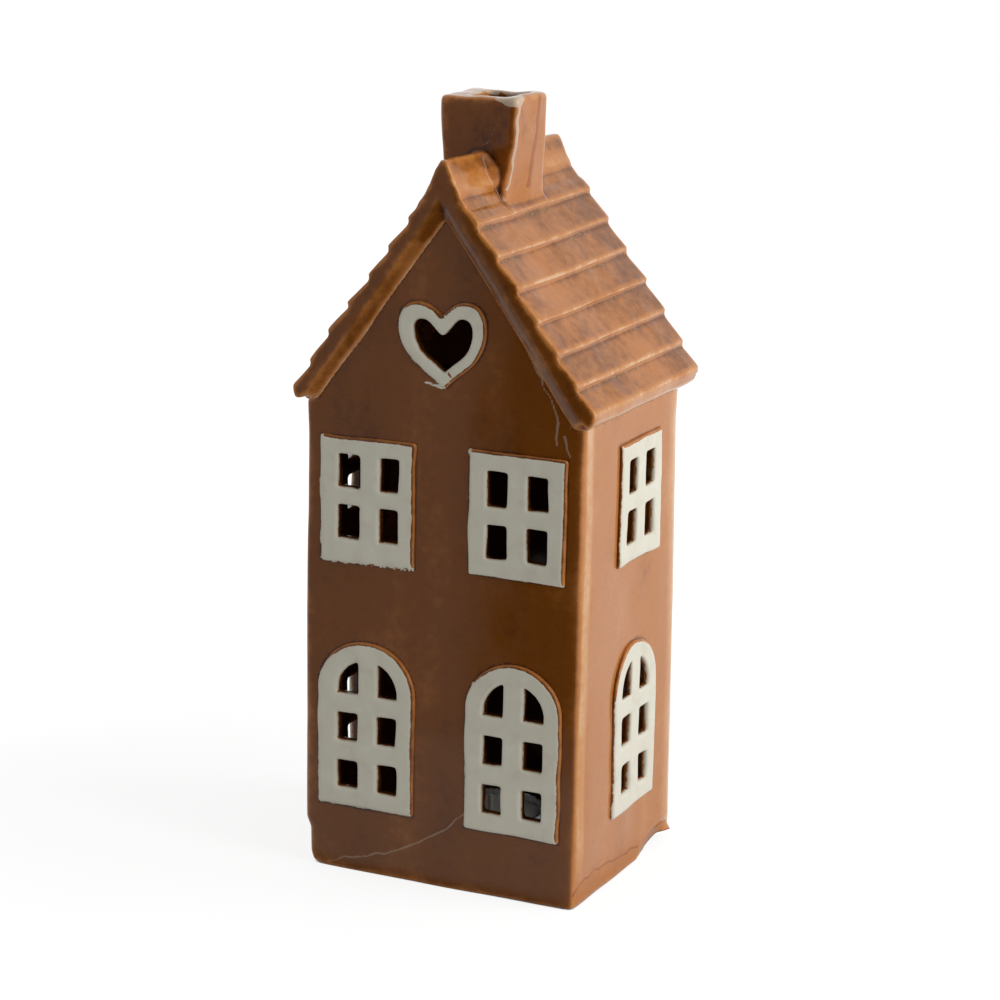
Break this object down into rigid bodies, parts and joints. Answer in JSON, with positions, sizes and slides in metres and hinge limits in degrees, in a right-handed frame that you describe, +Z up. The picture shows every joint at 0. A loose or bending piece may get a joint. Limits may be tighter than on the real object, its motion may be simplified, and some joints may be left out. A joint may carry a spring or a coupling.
{
  "type": "tealight house",
  "caption": "Tall glazed earthenware town house with a stepped gable roof, chimney flue, pierced lattice windows and a heart, open below, set over a tealight.",
  "frame": {"origin": "on the standing surface, under the middle of the house", "axes": "+Z up, -Y out of the front gable, +X to the right of someone facing the front"},
  "size_m": [0.1098, 0.089, 0.2642],
  "materials": {
    "brown_glaze": "glossy caramel-brown glaze on earthenware",
    "cream_glaze": "satin cream glaze, brushed on",
    "aluminium": "thin bright foil",
    "wax": "translucent white paraffin",
    "cotton_wick": "waxed cotton",
    "tinned_steel": "pressed sheet"
  },
  "bodies": {
    "tealight": {"tealight_cup": "aluminium", "tealight_wax": "wax", "tealight_wick": "cotton_wick", "wick_sustainer": "tinned_steel"},
    "house": {"front_wall": "brown_glaze", "rear_wall": "brown_glaze", "right_wall": "brown_glaze", "left_wall": "brown_glaze", "right_roof_slope": "brown_glaze", "left_roof_slope": "brown_glaze", "front_ridge_cap": "brown_glaze", "rear_ridge_cap": "brown_glaze", "front_bargeboard": "brown_glaze", "rear_bargeboard": "brown_glaze", "chimney": "brown_glaze", "front_upper_left_window": "cream_glaze", "front_upper_right_window": "cream_glaze", "front_lower_left_window": "cream_glaze", "front_lower_right_window": "cream_glaze", "right_upper_window": "cream_glaze", "right_lower_window": "cream_glaze", "left_upper_window": "cream_glaze", "left_lower_window": "cream_glaze", "heart_frame": "cream_glaze"}
  },
  "joints": [
    {"name": "house_lift", "type": "slide", "parent": "tealight", "child": "house", "axis": [0, 0, 1], "range_m": [0, 0.03]}
  ]
}
